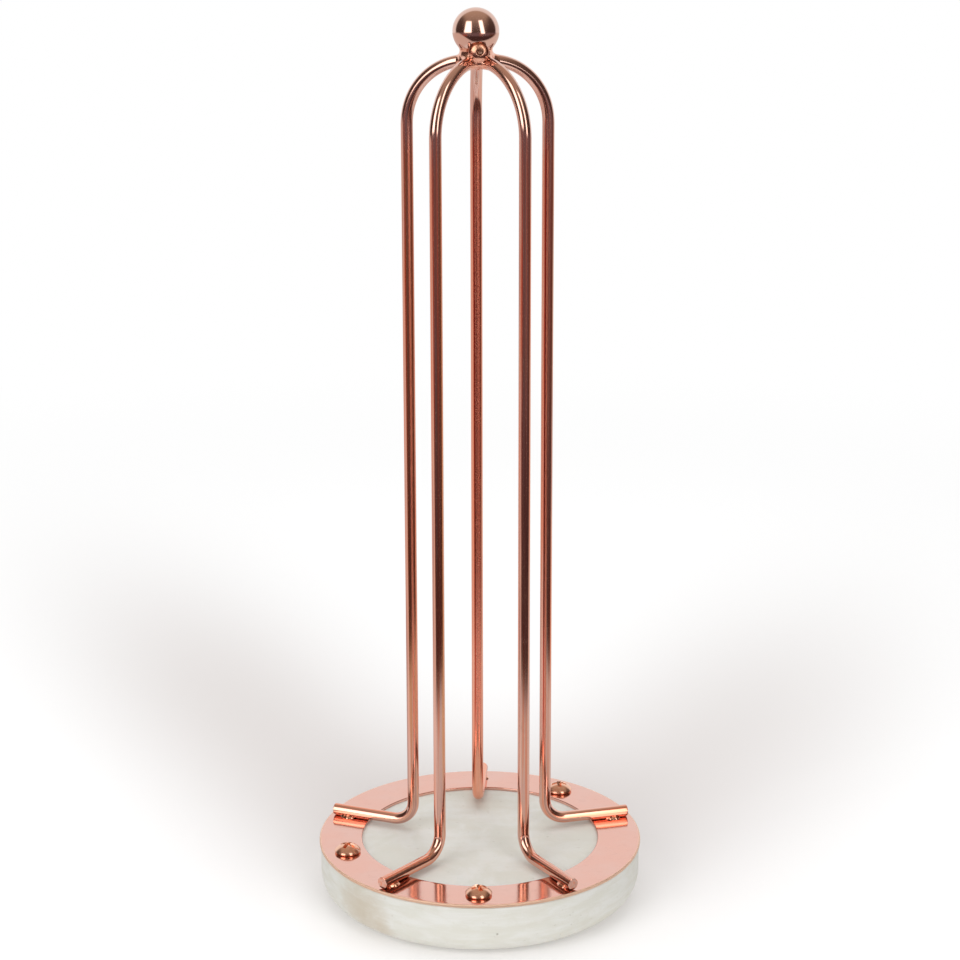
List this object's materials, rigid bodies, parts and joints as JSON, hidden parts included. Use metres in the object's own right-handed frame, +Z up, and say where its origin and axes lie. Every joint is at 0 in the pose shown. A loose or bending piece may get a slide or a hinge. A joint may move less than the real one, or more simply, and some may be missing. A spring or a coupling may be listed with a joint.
{
  "type": "hair tie holder",
  "caption": "Copper-coloured wire cage for hair ties on a round whitewashed wooden base, with a ball on top.",
  "frame": {"origin": "centre of the underside, on the surface that the holder stands on", "axes": "+Z up along the axis of the cage, towards the ball; -Y is the front, where one screw sits midway between the two front feet"},
  "size_m": [0.12, 0.12, 0.3313],
  "materials": {
    "copper_plate": "polished rose copper plating over steel",
    "braze": "brazed joint under the same copper plating",
    "screw_plate": "copper-plated steel",
    "whitewashed_wood": "whitewash rubbed over bare wood",
    "felt": "pressed felt, matt"
  },
  "bodies": {
    "root": {"felt_pad": "felt", "base_disc": "whitewashed_wood", "ring_plate": "copper_plate", "wire_back": "copper_plate", "wire_left": "copper_plate", "wire_front_left": "copper_plate", "wire_front_right": "copper_plate", "wire_right": "copper_plate", "weld_back_foot": "braze", "weld_left_foot": "braze", "weld_front_left_foot": "braze", "weld_front_right_foot": "braze", "weld_right_foot": "braze", "crown_collar": "braze", "ball_finial": "copper_plate", "screw_front": "screw_plate", "screw_left": "screw_plate", "screw_back": "screw_plate"}
  },
  "joints": []
}
